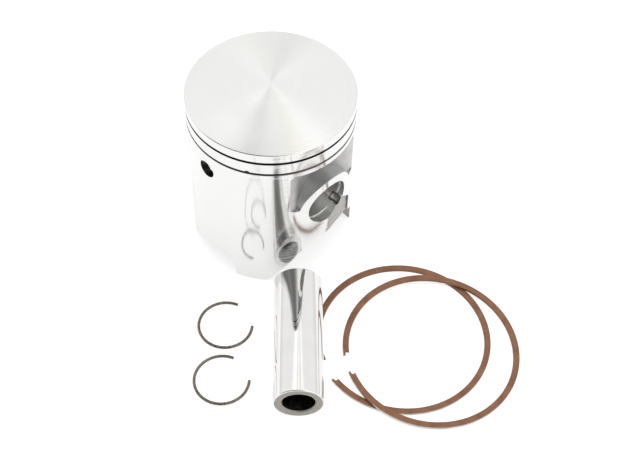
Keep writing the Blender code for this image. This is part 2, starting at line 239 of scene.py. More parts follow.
def crown_finish(dome_centre, pitch, lean):
    finish = metal("turned_crown", (0.86, 0.86, 0.85), 0.33, Anisotropic=1.0,
                   Anisotropic_Rotation=ACROSS_THE_RINGS)
    flat = finish.vector("MULTIPLY", finish.place(PISTON_PLACE), (1, 1, 0))
    ring = finish.vector("LENGTH", flat, output="Value") / pitch
    outward = finish.vector("NORMALIZE", finish.place(dome_centre))
    spoke = finish.vector("NORMALIZE", flat)
    slope = (finish.draw(ring) - 0.5) * (2 * lean)
    finish.set(Normal=leaned(finish, outward, spoke, slope))
    cloud = finish.noise(finish.place(), 12 * MM)
    tone = finish.spread(cloud * 0.7 + finish.draw(ring + 0.5) * 0.3)
    finish.set(Base_Color=finish.blend(tone, (0.84, 0.84, 0.83), (0.89, 0.89, 0.88)))
    finish.set(Roughness=finish.spread(cloud, 0.31, 0.36))


def skirt_finish(pitch, lean):
    finish = metal("turned_skirt", (0.82, 0.82, 0.81), 0.08, Anisotropic=0.6,
                   Anisotropic_Rotation=ACROSS_THE_RINGS)
    place = finish.place(PISTON_PLACE)
    outward = finish.vector("NORMALIZE", finish.vector("MULTIPLY", place, (1, 1, 0)))
    height = finish.vector("DOT_PRODUCT", place, (0, 0, 1), output="Value")
    faces_up = finish.math("GREATER_THAN", finish.draw(height / pitch), DOWNWARD_SHARE)
    finish.set(Normal=leaned(finish, outward, (0, 0, 1), faces_up * (2 * lean) - lean))
    cloud = finish.noise(finish.place(), 16 * MM)
    finish.set(Base_Color=finish.blend(cloud, (0.74, 0.74, 0.73), (0.78, 0.78, 0.77)))
    finish.set(Roughness=finish.spread(cloud, 0.07, 0.10))


print("two turned finishes ready")

# %% [markdown]
# The crown's normal starts from the middle of its dome, so the dome is worked out here:
# a cap of a sphere that rises by a few millimetres over the width of the crown.

# %% The dome and the turned finishes
DOME_RISE = 3.8 * MM
RIM_HEIGHT = CROWN_TOP - DOME_RISE
LAND_RADIUS = SKIRT_RADIUS - 0.05 * MM
RIM_CHAMFER = 0.3 * MM
DOME_EDGE = LAND_RADIUS - RIM_CHAMFER
DOME_RADIUS = (DOME_EDGE ** 2 + DOME_RISE ** 2) / (2 * DOME_RISE)
DOME_CENTRE = PISTON_PLACE + Vector((0, 0, CROWN_TOP - DOME_RADIUS))
CROWN_PITCH, CROWN_LEAN = 0.12 * MM, 0.05      # a lean is the tangent of its angle
SKIRT_PITCH, SKIRT_LEAN = 0.02 * MM, 0.096
crown_finish(DOME_CENTRE, CROWN_PITCH, CROWN_LEAN)
skirt_finish(SKIRT_PITCH, SKIRT_LEAN)
print(f"the crown is part of a sphere of {DOME_RADIUS / MM:.0f} mm radius")

# %% [markdown]
# ## The other faces of the aluminium
# The forging leaves its recesses matte and a little grainy. The ring grooves are deep,
# and their near-black colour is painted shade; the holes for the locating pins and the
# drilled wall of the skirt hole are painted near black as shade too. The bore is honed, so
# its scratches run round it, and the flats and the feet are milled, which leaves straight
# scratches. Chamfers and small steps are cut bright. A scratch is noise that a Mapping
# node has stretched in one direction.

# %% Finishes of recesses, grooves and cut edges
def scratched(finish, stretch, size, low, high, depth):
    """Scratches that are long in one direction, as colour and as bump."""
    lines = finish.add("Mapping", None, {"Vector": finish.place(PISTON_PLACE), "Scale": stretch})
    scratch = finish.noise(lines, size, detail=4)
    finish.set(Base_Color=finish.blend(finish.spread(scratch), low, high))
    finish.bump(scratch, 0.3, depth)


def recess_finish():
    finish = metal("forged_recess", (0.5, 0.5, 0.495), 0.4)
    coarse = finish.noise(finish.place(), 3.5 * MM)
    fine = finish.noise(finish.place(), 0.5 * MM, detail=5)
    finish.set(Base_Color=finish.blend(coarse, (0.42, 0.42, 0.42), (0.66, 0.66, 0.655)))
    finish.set(Roughness=finish.spread(fine, 0.36, 0.52))
    finish.bump(fine + coarse, 0.5, 0.1 * MM)


# Painted shade: the near-black colour of the grooves and of the locating-pin holes stands in for
# the shade deep inside them; only the grain is the metal's own.
def painted_shade_groove_finish():
    finish = metal("ring_groove", (0.12, 0.11, 0.10), 0.35)
    grain = finish.noise(finish.place(), 2 * MM)
    finish.set(Base_Color=finish.blend(grain, (0.07, 0.065, 0.06), (0.16, 0.15, 0.14)))


def cut_edge_finish():
    finish = metal("cut_edge", (0.80, 0.80, 0.79), 0.18)
    grain = finish.noise(finish.place(), 1.2 * MM)
    finish.set(Base_Color=finish.blend(grain, (0.72, 0.72, 0.71), (0.86, 0.86, 0.85)))
    finish.set(Roughness=finish.spread(grain, 0.14, 0.24))


recess_finish()
painted_shade_groove_finish()
cut_edge_finish()
bore = metal("honed_bore", (0.8, 0.8, 0.78), 0.35)
scratched(bore, (9, 0.6, 0.6), 1.2 * MM, (0.66, 0.66, 0.64), (0.95, 0.95, 0.93), 0.06 * MM)
# Painted shade: the drilled wall of the skirt hole is coloured near black to stand in for the
# shade inside the hole; its scratches are real.
drilled_wall = metal("drilled_wall", (0.2, 0.2, 0.19), 0.3)
scratched(drilled_wall, (1, 1, 8), 2 * MM, (0.1, 0.1, 0.095), (0.22, 0.22, 0.21), 0.02 * MM)
flat = metal("milled_flat", (0.6, 0.59, 0.57), 0.3)
scratched(flat, (1, 1, 14), 4 * MM, (0.24, 0.235, 0.22), (0.41, 0.40, 0.38), 0.04 * MM)
print("aluminium finishes:", ", ".join(FINISH_MATERIALS))

# %% [markdown]
# ## Steel and iron
# The wrist pin is ground and lapped until it is a mirror, but its end faces are only
# cut, and the near-black colour of its hole is painted shade. A piston ring is cast iron
# with a brown phosphate skin, and a bright plated face where it runs on the cylinder. The
# circlips are spring wire, oiled dark. Each grain is noise at the size that the real one has.

# %% Steel and iron finishes
def grained(name, low, high, size, roughness, metallic=1.0, bump=0.0, detail=4):
    """A metal whose colour and gloss wander with one grain."""
    finish = metal(name, low, roughness[0], metallic)
    grain = finish.noise(finish.place(), size, detail)
    finish.set(Base_Color=finish.blend(finish.spread(grain), low, high))
    finish.set(Roughness=finish.spread(grain, *roughness))
    if bump:
        finish.bump(grain, 0.3, bump)


def phosphate_finish():
    """Brown crystals in clouds, which darken the skin here and there."""
    finish = metal("brown_phosphate", (0.23, 0.10, 0.05), 0.5, 0.3)
    cloud = finish.noise(finish.place(), 5 * MM)
    crystal = finish.noise(finish.place(), 0.25 * MM, detail=5)
    mottle = finish.spread(cloud * 0.6 + crystal * 0.4)
    finish.set(Base_Color=finish.blend(mottle, (0.13, 0.056, 0.026), (0.245, 0.112, 0.058)))
    finish.set(Roughness=finish.spread(crystal, 0.42, 0.62))
    finish.bump(crystal, 0.35, 0.03 * MM)


grained("ground_steel", (0.73, 0.725, 0.715), (0.77, 0.765, 0.755), 9 * MM, (0.03, 0.07))
grained("cut_pin_end", (0.24, 0.225, 0.195), (0.38, 0.36, 0.32), 0.6 * MM, (0.38, 0.5), 0.6,
        0.04 * MM)
# Painted shade: the inside of the pin's hole is coloured near black to stand in for the shade
# within it.
grained("pin_hole", (0.05, 0.05, 0.045), (0.14, 0.135, 0.12), 1.5 * MM, (0.3, 0.5))
grained("plated_face", (0.36, 0.36, 0.345), (0.56, 0.56, 0.54), 2.5 * MM, (0.1, 0.24))
grained("spring_wire", (0.10, 0.088, 0.062), (0.25, 0.22, 0.17), 1.1 * MM, (0.26, 0.45), 0.85,
        0.02 * MM)
grained("pin_stock", (0.28, 0.26, 0.22), (0.50, 0.48, 0.43), 0.5 * MM, (0.25, 0.4))
phosphate_finish()
print(len(FINISH_MATERIALS), "finishes in all")

# Both name a finish for each face, because a cutter hands its own finish to what it
# cuts.

# %% Turning and extruding
def new_piece(name, mesh_builder, finishes):
    """Close a bmesh, turn its faces outwards and make it an object."""
    bmesh.ops.remove_doubles(mesh_builder, verts=mesh_builder.verts, dist=1e-7)
    bmesh.ops.recalc_face_normals(mesh_builder, faces=mesh_builder.faces)
    mesh = bpy.data.meshes.new(name)
    mesh_builder.to_mesh(mesh)
    mesh_builder.free()
    for finish in finishes:
        mesh.materials.append(FINISH_MATERIALS[finish])
    mesh.shade_smooth()
    piece = bpy.data.objects.new(name, mesh)
    bpy.context.scene.collection.objects.link(piece)
    return piece


def turned(name, profile, facets, turn=Matrix()):
    """Turn (radius, height, finish) points about Z; a finish holds to the next point."""
    finishes = list(dict.fromkeys(point[2] for point in profile))
    mesh_builder = bmesh.new()
    rows = []
    for radius, height, finish in profile:
        angles = [2 * pi * i / facets for i in range(facets if radius else 1)]
        rows.append([mesh_builder.verts.new((radius * cos(a), radius * sin(a), height))
                     for a in angles])
    for near, far, point in zip(rows, rows[1:], profile):
        for i in range(facets):
            corners = [near[i % len(near)], near[(i + 1) % facets % len(near)],
                       far[(i + 1) % facets % len(far)], far[i % len(far)]]
            face = mesh_builder.faces.new(list(dict.fromkeys(corners)))
            face.material_index = finishes.index(point[2])
    bmesh.ops.transform(mesh_builder, matrix=turn, verts=mesh_builder.verts)
    return new_piece(name, mesh_builder, finishes)


def extruded(name, outline, low, high, finish, turn=Matrix()):
    """An outline in XY, thickened along Z and then turned."""
    mesh_builder = bmesh.new()
    bottom = [mesh_builder.verts.new((x, y, low)) for x, y in outline]
    top = [mesh_builder.verts.new((x, y, high)) for x, y in outline]
    mesh_builder.faces.new(bottom)
    mesh_builder.faces.new(top)
    for i in range(len(outline)):
        mesh_builder.faces.new((bottom[i - 1], bottom[i], top[i], top[i - 1]))
    bmesh.ops.transform(mesh_builder, matrix=turn, verts=mesh_builder.verts)
    return new_piece(name, mesh_builder, [finish])


print("two makers ready: turned and extruded")

# %% [markdown]
# Outlines are drawn flat and then laid where they cut, so a few matrices turn them.

# %% Ways to lay an outline, and curves for its points
ALONG_X = Matrix(((0, 0, 1, 0), (1, 0, 0, 0), (0, 1, 0, 0), (0, 0, 0, 1)))   # XY to YZ
ALONG_Y = Matrix(((1, 0, 0, 0), (0, 0, -1, 0), (0, 1, 0, 0), (0, 0, 0, 1)))  # XY to XZ
TO_BORE = Matrix.Translation((0, 0, BORE_HEIGHT))


def arc(radius, start, end, steps, centre=(0, 0)):
    """Points on part of a circle, between two angles in degrees."""
    angles = [radians(start + (end - start) * i / steps) for i in range(steps + 1)]
    return [(centre[0] + radius * cos(a), centre[1] + radius * sin(a)) for a in angles]


def smooth_line(points, steps=4):
    """A curve through points in millimetres, as points in metres."""
    knots = [Vector(point) * MM for point in points]
    knots = [2 * knots[0] - knots[1], *knots, 2 * knots[-1] - knots[-2]]
    line = []
    for before, here, on, after in zip(knots, knots[1:], knots[2:], knots[3:]):
        for i in range(steps):
            t = i / steps
            bend = (2 * before - 5 * here + 4 * on - after) * t ** 2
            twist = (3 * here - before - 3 * on + after) * t ** 3
            line.append(tuple((2 * here + (on - before) * t + bend + twist) / 2))
    return [*line, tuple(knots[-2])]


print(f"the bore lies {BORE_HEIGHT / MM:.1f} mm above the bench")

# %% [markdown]
# ## Cutting one shape with another
# A Boolean modifier is the milling machine here. The exact solver keeps edges crisp,
# and `material_mode` TRANSFER lets each cut face keep the finish of its cutter. The
# result is read back as a plain mesh, and the cutters are thrown away. A Bevel modifier
# rounds edges, and a shape for both sides is made once and mirrored.

# %% Cutting
def cut(target, cutter, operation="DIFFERENCE"):
    modifier = target.modifiers.new(cutter.name, "BOOLEAN")
    modifier.operation = operation
    modifier.solver = "EXACT"
    modifier.material_mode = "TRANSFER"
    modifier.object = cutter


def soften(piece, width, segments, angle=30):
    """Round the edges of a piece with a Bevel modifier."""
    modifier = piece.modifiers.new("softened_edges", "BEVEL")
    modifier.width = width
    modifier.segments = segments
    modifier.limit_method = "ANGLE"
    modifier.angle_limit = radians(angle)
    modifier.harden_normals = True
    modifier.use_clamp_overlap = True


def mirrored(make):
    """The right-hand shape and its mirror image, with its faces outwards again."""
    pair = []
    for side in (1, -1):
        shape = make()
        shape.data.transform(Matrix.Diagonal((side, 1, 1, 1)))
        if side < 0:
            shape.data.flip_normals()
        pair.append(shape)
    return pair


def applied(piece, name, sharp=30):
    """The evaluated shape as a plain mesh in a new object; the old one is removed."""
    bpy.context.view_layer.update()
    evaluated = piece.evaluated_get(bpy.context.evaluated_depsgraph_get())
    mesh = bpy.data.meshes.new_from_object(evaluated)
    mesh.name = name
    mesh.set_sharp_from_angle(angle=radians(sharp))
    result = bpy.data.objects.new(name, mesh)
    bpy.context.scene.collection.objects.link(result)
    bpy.data.objects.remove(piece, do_unlink=True)
    return result


print("cut, soften, mirrored and applied are ready")

# %% [markdown]
# ## The piston: outside
# A piston is forged, then turned all over outside: a slightly domed crown, two ring
# grooves, narrow lands and a skirt that is a hair wider. One profile goes round the
# axis, and the cutters of the next steps take the rest away.

# %% Piston outside
GROOVE_RADIUS = SKIRT_RADIUS - 2.9 * MM
GROOVE_HEIGHT = RING_THICKNESS + 0.05 * MM
LOWEST_LAND = 1.2 * MM
EDGE = 0.4 * MM              # the chamfers at the top and the foot of the skirt
GROOVE_HEIGHTS = (RIM_HEIGHT - 4.75 * MM, RIM_HEIGHT - 10.95 * MM)
SKIRT_FACETS = 240
DOME_STEPS = 12


def piston_outside():
    profile = []
    for i in range(DOME_STEPS):
        radius = DOME_EDGE * i / DOME_STEPS
        height = DOME_CENTRE.z + sqrt(DOME_RADIUS ** 2 - radius ** 2)
        profile.append((radius, height, "turned_crown"))
    profile += [(DOME_EDGE, RIM_HEIGHT, "cut_edge"),
                (LAND_RADIUS, RIM_HEIGHT - RIM_CHAMFER, "turned_skirt")]
    # Each groove's faces take the near-black finish that paints the shade inside it.
    for middle in GROOVE_HEIGHTS:
        top, bottom = middle + GROOVE_HEIGHT / 2, middle - GROOVE_HEIGHT / 2
        profile += [(LAND_RADIUS, top, "ring_groove"), (GROOVE_RADIUS, top, "ring_groove"),
                    (GROOVE_RADIUS, bottom, "ring_groove"), (LAND_RADIUS, bottom, "turned_skirt")]
    skirt_top = GROOVE_HEIGHTS[1] - GROOVE_HEIGHT / 2 - LOWEST_LAND
    profile += [(LAND_RADIUS, skirt_top, "cut_edge"),
                (SKIRT_RADIUS, skirt_top - EDGE, "turned_skirt"),
                (SKIRT_RADIUS, EDGE, "cut_edge"),
                (SKIRT_RADIUS - EDGE, 0, "milled_flat"), (0, 0, "milled_flat")]
    return turned("forging", profile, SKIRT_FACETS)


blank = piston_outside()
print("blank:", len(blank.data.polygons), "faces")

# %% [markdown]
# ## The piston: inside and the pin bosses
# Inside, the forging is hollow, with two bosses that carry the wrist pin. The hollow is
# itself a solid with the bosses and the side walls cut out of it, so that one cut
# leaves them all standing in the piston.

# %% Hollow and bosses
BOSS_RADIUS = 13.9 * MM
BOSS_FACETS = 96
CAVITY_RADIUS = SKIRT_RADIUS - 3 * MM
CEILING = CROWN_TOP - 7.3 * MM
CEILING_BENDS = ((18, 0.8), (24, 3), (27, 6.5), (27.6, 12.2))     # mm: radius, drop
SHOULDER = 57 * MM           # the wall is at its full bore below this height
WALL_BEHIND_POCKET = 21.5 * MM
WALL_FOOT = 39.5 * MM
ROOT_UNDER_BOSS = (27 * MM, 41 * MM, 13 * MM)      # inner face, outer face, half width
ROOT_FOOT = 10 * MM
BEYOND = 40 * MM             # a cutter ends this far from the axis, outside the skirt


def boss():
    profile = [(0, BEYOND, "forged_recess"), (BOSS_RADIUS, BEYOND, "forged_recess"),
               (BOSS_RADIUS, ROD_FACE, "milled_flat"), (0, ROD_FACE, "milled_flat")]
    # Half a facet round, so that no corner of it meets a corner of the bore.
    half_facet = Matrix.Rotation(pi / BOSS_FACETS, 4, "Z")
    return turned("boss", profile, BOSS_FACETS, TO_BORE @ ALONG_X @ half_facet)


def wall_behind_pocket():
    inner = WALL_BEHIND_POCKET
    reach = sqrt(CAVITY_RADIUS ** 2 - inner ** 2) + 0.5 * MM
    outline = [(inner, -reach), (BEYOND, -reach), (BEYOND, reach), (inner, reach)]
    return extruded("wall", outline, WALL_FOOT, 90 * MM, "forged_recess")


def wall_under_boss():
    inner, outer, half = ROOT_UNDER_BOSS
    outline = [(inner, -half), (outer, -half), (outer, half), (inner, half)]
    return extruded("root", outline, ROOT_FOOT, BORE_HEIGHT, "forged_recess")


def hollow():
    ceiling = [(radius * MM, CEILING - drop * MM) for radius, drop in CEILING_BENDS]
    profile = [(0, CEILING), *ceiling, (CAVITY_RADIUS, SHOULDER), (CAVITY_RADIUS, -MM), (0, -MM)]
    half_facet = Matrix.Rotation(pi / SKIRT_FACETS, 4, "Z")
    shape = turned("hollow", [(*point, "forged_recess") for point in profile], SKIRT_FACETS,
                   half_facet)
    for make in (boss, wall_behind_pocket, wall_under_boss):
        for keep in mirrored(make):
            cut(shape, keep)
    return shape


print(f"the crown is {(CROWN_TOP - CEILING) / MM:.1f} mm thick in the middle,",
      f"and the skirt {(SKIRT_RADIUS - CAVITY_RADIUS) / MM:.1f} mm")

# %% [markdown]
# ## The piston: recesses above the bosses
# Above each boss the forging is pressed in to save weight. The recess is a shallow
# hollow in plan that runs out into the skirt on both sides, and it stops at a round rim
# that belongs to the boss. A Bevel modifier on the cutter gives the soft corners,
# because a rounded cutter leaves a rounded hole.

# %% Recesses
POCKET_PLAN = ((25.5, 0), (26.2, 5), (28, 10), (29.3, 14), (29.3, 17.6))
POCKET_HEIGHTS = (44.5 * MM, 66 * MM)
POCKET_CORNER = 3 * MM
RUN_OUT = 2 * MM             # the recess widens by this much outside the skirt


def pocket():
    half = smooth_line(POCKET_PLAN)
    edge = half[-1][1] + RUN_OUT
    plan = [(x, -y) for x, y in reversed(half)] + half[1:]
    plan = [(BEYOND, -edge), *plan, (BEYOND, edge)]
    return extruded("pocket", plan, 0, RIM_HEIGHT, "forged_recess")


def pocket_outline():
    """The recess seen from the side: a block with round corners."""
    edge = POCKET_PLAN[-1][1] * MM - POCKET_CORNER
    low, high = POCKET_HEIGHTS[0] + POCKET_CORNER, POCKET_HEIGHTS[1] - POCKET_CORNER
    outline = []
    for i, middle in enumerate(((edge, high), (-edge, high), (-edge, low), (edge, low))):
        outline += arc(POCKET_CORNER, 90 * i, 90 * i + 90, 8, middle)
    return extruded("pocket_outline", outline, ROD_FACE, BEYOND + 2 * MM, "forged_recess",
                    ALONG_X)


def recesses():
    pair = mirrored(pocket)
    for recess, outline, rim in zip(pair, mirrored(pocket_outline), mirrored(boss)):
        cut(recess, outline, "INTERSECT")
        cut(recess, rim)
        soften(recess, 1.2 * MM, 4, 50)
    return pair


print(f"each recess is {2 * POCKET_PLAN[-1][1]:.1f} mm wide")

# %% [markdown]
# ## The piston: bore, arches, hole and flats
# The bore is one turned cutter with a groove for a circlip near each end. The skirt
# has a sloping arch at front and back, and a wide arch under each boss, so that it
# clears the crank. Each arch is a smooth curve through a few points.

# %% Bore and arches
BORE_RADIUS = PIN_RADIUS + 0.01 * MM
CLIP_GROOVE_RADIUS = BORE_RADIUS + 0.75 * MM
CLIP_GROOVE = (29.35 * MM, 30.65 * MM)


def pin_bore():
    near, far = CLIP_GROOVE
    half = [(BORE_RADIUS, BEYOND), (BORE_RADIUS, far), (CLIP_GROOVE_RADIUS, far),
            (CLIP_GROOVE_RADIUS, near), (BORE_RADIUS, near)]
    profile = [(0, BEYOND)] + half + [(r, -z) for r, z in reversed(half)] + [(0, -BEYOND)]
    return turned("pin_bore", [(*point, "honed_bore") for point in profile], BOSS_FACETS,
                  TO_BORE @ ALONG_X)


SKIRT_ARCH = ((12.1, 0), (11.6, 6.4), (11, 9.2), (10, 11.2), (8.3, 12.3), (5.4, 12.6),
              (0.5, 11.9), (-4.7, 10.4), (-8.7, 9.1), (-13.4, 6), (-19.4, 0))
SIDE_ARCH = ((-25.3, 0), (-11.8, 19.4), (-9.6, 21.2), (-6, 22.3), (0, 22.8), (6, 22.3),
             (9.6, 21.5), (15.6, 20.6), (24, 9.2), (24.6, 0))


def arch(name, points, turn):
    """A curved opening that is cut right through, from below the foot upwards."""
    curve = smooth_line(points)
    outline = [(curve[0][0], -2 * MM), *curve, (curve[-1][0], -2 * MM)]
    return extruded(name, outline, -BEYOND, BEYOND, "milled_flat", turn)


print(f"bore {2 * BORE_RADIUS / MM:.2f} mm, circlip groove {2 * CLIP_GROOVE_RADIUS / MM:.2f} mm")

# %% [markdown]
# Beside each bore a flat is milled and a slot is cut, to get a pick behind the circlip.
# The skirt's round hole and the holes for the locating pins are drilled from outside.

# %% Flats, slots and holes
CLIP_FLAT = ((-9, 12), (6.4, 12), (6.4, 30.4), (-1, 37.6), (-4, 36), (-9, 31))
CLIP_FLAT_TURN = radians(15.6)
CLIP_FLAT_FACE = 32.83 * MM          # from the axis
CLIP_SLOT_PLACE = (10.3 * MM, radians(-42))        # from the middle of the bore
CLIP_SLOT_RADIUS = 2 * MM
CLIP_SLOT_FACE = 27.5 * MM
SKIRT_HOLE = (3.9 * MM, 26 * MM, radians(-91), 59.5 * MM)      # radius, end, angle, height
LOCATING_HOLE = (0.95 * MM, 28.5 * MM)                         # radius, end


def clip_flat():
    outline = [(y * MM, z * MM) for y, z in CLIP_FLAT]
    turn = Matrix.Rotation(CLIP_FLAT_TURN, 4, "Z") @ ALONG_X
    return extruded("clip_flat", outline, CLIP_FLAT_FACE, BEYOND, "milled_flat", turn)


def clip_slot():
    """A round-bottomed slot in the edge of the bore, below it to one side."""
    reach, angle = CLIP_SLOT_PLACE
    profile = [(0, BEYOND), (CLIP_SLOT_RADIUS, BEYOND), (CLIP_SLOT_RADIUS, CLIP_SLOT_FACE),
               (0, CLIP_SLOT_FACE)]
    place = Matrix.Translation((0, reach * cos(angle), BORE_HEIGHT + reach * sin(angle)))
    return turned("clip_slot", [(*point, "milled_flat") for point in profile], 32,
                  place @ ALONG_X)


def radial_turn(angle, height):
    """Lay a shape that was made along Z out along a spoke of the piston."""
    spoke = Matrix.Rotation(angle, 4, "Z") @ Matrix.Rotation(pi / 2, 4, "Y")
    return Matrix.Translation((0, 0, height)) @ spoke


def drilled(name, radius, inner, angle, height, finish):
    profile = [(0, BEYOND), (radius, BEYOND), (radius, inner), (0, inner)]
    return turned(name, [(*point, finish) for point in profile], 48, radial_turn(angle, height))


print(f"skirt hole {2 * SKIRT_HOLE[0] / MM:.1f} mm, {SKIRT_HOLE[3] / MM:.1f} mm up")

# %% [markdown]
# ## The whole piston
# All the cutters go to work in turn. The order matters: the large openings come first
# and the recesses with their soft corners last, so that the exact solver never meets
# two nearly equal edges.

# %% Make the piston
LOCATING_PINS = ("second_ring_locating_pin", "top_ring_locating_pin")


def locating_pin_spoke(name):
    """The angle and the height of a locating pin, from its box."""
    low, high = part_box(name)
    middle = (low + high) / 2 - PISTON_PLACE
    return atan2(middle.y, middle.x), middle.z


def make_piston():
    cutters = [hollow(), arch("skirt_arch", SKIRT_ARCH, ALONG_Y),
               arch("side_arch", SIDE_ARCH, ALONG_X)]
    cutters += mirrored(clip_flat) + mirrored(clip_slot) + [pin_bore()]
    # The skirt hole's wall takes the near-black finish that paints the shade inside it.
    cutters.append(drilled("skirt_hole", *SKIRT_HOLE, "drilled_wall"))
    # The holes for the locating pins take the groove's near-black painted shade.
    for name in LOCATING_PINS:
        cutters.append(drilled("hole_for_" + name, *LOCATING_HOLE, *locating_pin_spoke(name),
                               "ring_groove"))
    cutters += recesses()
    for cutter in cutters:
        cut(blank, cutter)
    piston = applied(blank, "forged_piston")
    # All that has been made so far, apart from the packed nodes, is a cutter.
    for item in [o for o in bpy.data.objects if o.type == "MESH" and not o.get("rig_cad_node")]:
        if item != piston:
            bpy.data.objects.remove(item, do_unlink=True)
    piston.data.transform(Matrix.Translation(PISTON_PLACE))
    return piston


piston = make_piston()
print("piston:", len(piston.data.vertices), "points")
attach(piston, "piston_body")
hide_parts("piston")

# %% [markdown]
# ## Wrist pin
# The hollow pin carries the piston on the rod. It is ground outside and bored through, so
# a profile round its axis is all that it needs. Its inner edges have plain chamfers. Each
# outer edge is an arc of a few points, which catches a thin line of light.

# %% Wrist pin
PIN_HOLE_RADIUS = 6.5 * MM
PIN_EDGE = 0.5 * MM
PIN_EDGE_STEPS = 5


def make_wrist_pin():
    low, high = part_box("wrist_pin")
    heading = Vector(mounts["wrist_pin_end"]["axis"])
    length = (high.x - low.x - 2 * PIN_RADIUS * abs(heading.y)) / abs(heading.x)
    hole, edge, half = PIN_HOLE_RADIUS, PIN_EDGE, length / 2
    end = [(hole, half - edge, "cut_pin_end"), (hole + edge, half, "cut_pin_end")]
    end += [(PIN_RADIUS - edge + u, half - edge + v, "ground_steel")
            for u, v in reversed(arc(edge, 0, 90, PIN_EDGE_STEPS))]
    other = [(r, -z) for r, z, finish in reversed(end)]
    # The last face runs through the hole and takes its near-black painted shade.
    names = ["ground_steel"] * (PIN_EDGE_STEPS + 1) + ["cut_pin_end", "pin_hole"]
    profile = end + [(*point, name) for point, name in zip(other, names)] + [end[0]]
    turn = heading.to_track_quat("Z", "Y").to_matrix().to_4x4()
    pin = turned("ground_wrist_pin", profile, 160, Matrix.Translation((low + high) / 2) @ turn)
    pin.data.set_sharp_from_angle(angle=radians(30))
    return pin


wrist_pin = make_wrist_pin()
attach(wrist_pin, "wrist_pin_body")
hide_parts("wrist_pin")
print("wrist pin:", len(wrist_pin.data.polygons), "faces")

# %% [markdown]
# ## Locating pins
# Two short steel pins are pressed into the ring grooves to stop the rings from turning.
# Only a bump of each shows. Each is turned, with a softly domed end.

# %% Locating pins
LOCATING_PIN_LENGTH = 4.5 * MM
LOCATING_PIN_DOME = 0.3 * MM


def make_locating_pin(name):
    angle, height = locating_pin_spoke(name)
    low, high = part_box(name)
    middle = (low + high) / 2 - PISTON_PLACE
    reach = hypot(middle.x, middle.y)
    radius = (high.z - low.z) / 2
    inner, outer = reach - LOCATING_PIN_LENGTH / 2, reach + LOCATING_PIN_LENGTH / 2
    dome = [(radius * cos(a), outer - LOCATING_PIN_DOME * (1 - sin(a)))
            for a in (0.0, pi / 8, pi / 4, pi * 3 / 8)]
    profile = [(0, inner), (radius, inner)] + dome + [(0, outer)]
    turn = Matrix.Translation(PISTON_PLACE) @ radial_turn(angle, height)
    pin = turned("fine_" + name, [(*point, "pin_stock") for point in profile], 32, turn)
    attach(pin, "piston_body")
    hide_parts(name)
    return pin


for name in LOCATING_PINS:
    print("made", make_locating_pin(name).name)

# %% [markdown]
# ## Rings and circlips with Geometry Nodes
# A ring and a circlip are the same idea: one cross-section that follows an open circle.
# A small node tree makes both. Its inputs are the radius to the middle of the section,
# the angles of the gap, and the section's width, height and corner radius. A ring's
# section is a block with slightly rounded corners, and a circlip's is all corner. A
# small class adds the nodes, and a value that is an input's name links to that input.

# %% Adding geometry nodes
class Steps:
    """Geometry nodes, added one by one."""

    def __init__(self, name):
        self.tree = bpy.data.node_groups.new(name, "GeometryNodeTree")
        self.inputs = self.tree.nodes.new("NodeGroupInput")
        self.identifiers = {}

    def input(self, name, kind, value=None):
        socket = self.tree.interface.new_socket(name, in_out="INPUT", socket_type=kind)
        if value is not None:
            socket.default_value = value
        self.identifiers[name] = socket.identifier

    def add(self, kind, settings=None, sockets=None, output=0):
        node = self.tree.nodes.new(kind)
        for key, value in (settings or {}).items():
            setattr(node, key, value)
        for key, value in (sockets or {}).items():
            if isinstance(value, bpy.types.NodeSocket):
                self.tree.links.new(value, node.inputs[key])
            elif isinstance(value, str) and value in self.identifiers:
                self.tree.links.new(self.inputs.outputs[value], node.inputs[key])
            else:
                node.inputs[key].default_value = value
        return node.outputs[output]

    def end(self, geometry):
        self.tree.interface.new_socket("Geometry", in_out="OUTPUT",
                                       socket_type="NodeSocketGeometry")
        self.tree.links.new(geometry, self.tree.nodes.new("NodeGroupOutput").inputs[0])


print("a tree is made of:", ", ".join(name for name in vars(Steps) if name[0] != "_"))

# %% [markdown]
# The tree bends the section round the arc, gives all of it one finish, and then gives
# the faces that look outwards another, because a ring has a plated running face.

# %% The node tree
OUTWARD = 0.8                # a face looks outwards when its normal is this near the spoke


def open_circle_steps():
    steps = Steps("section_round_an_open_circle")
    for name in ("Radius", "Start", "Sweep", "Width", "Height", "Corner"):
        steps.input(name, "NodeSocketFloat", MM)
    steps.input("Stations", "NodeSocketInt", 128)
    steps.input("Corner stations", "NodeSocketInt", 3)
    steps.input("Skin", "NodeSocketMaterial")
    steps.input("Outer face", "NodeSocketMaterial")
    path = steps.add("GeometryNodeCurveArc", None, {
        "Resolution": "Stations", "Radius": "Radius", "Start Angle": "Start",
        "Sweep Angle": "Sweep"})
    block = steps.add("GeometryNodeCurvePrimitiveQuadrilateral", None,
                      {"Width": "Width", "Height": "Height"})
    section = steps.add("GeometryNodeFilletCurve", {"mode": "POLY"}, {
        "Curve": block, "Radius": "Corner", "Count": "Corner stations", "Limit Radius": True})
    swept = steps.add("GeometryNodeCurveToMesh", None, {
        "Curve": path, "Profile Curve": section, "Fill Caps": True})
    skinned = steps.add("GeometryNodeSetMaterial", None, {"Geometry": swept, "Material": "Skin"})
    normal = steps.add("GeometryNodeInputNormal")
    place = steps.add("GeometryNodeInputPosition")
    spoke = steps.add("ShaderNodeVectorMath", {"operation": "NORMALIZE"}, {0: place})
    facing = steps.add("ShaderNodeVectorMath", {"operation": "DOT_PRODUCT"},
                       {0: normal, 1: spoke}, output="Value")
    outer = steps.add("FunctionNodeCompare", {"operation": "GREATER_THAN"},
                      {0: facing, 1: OUTWARD})
    real = steps.add("GeometryNodeRealizeInstances", None, {"Geometry": skinned})
    faced = steps.add("GeometryNodeSetMaterial", None, {
        "Geometry": real, "Selection": outer, "Material": "Outer face"})
    steps.end(faced)
    return steps


OPEN_CIRCLE = open_circle_steps()
print("inputs:", ", ".join(OPEN_CIRCLE.identifiers))

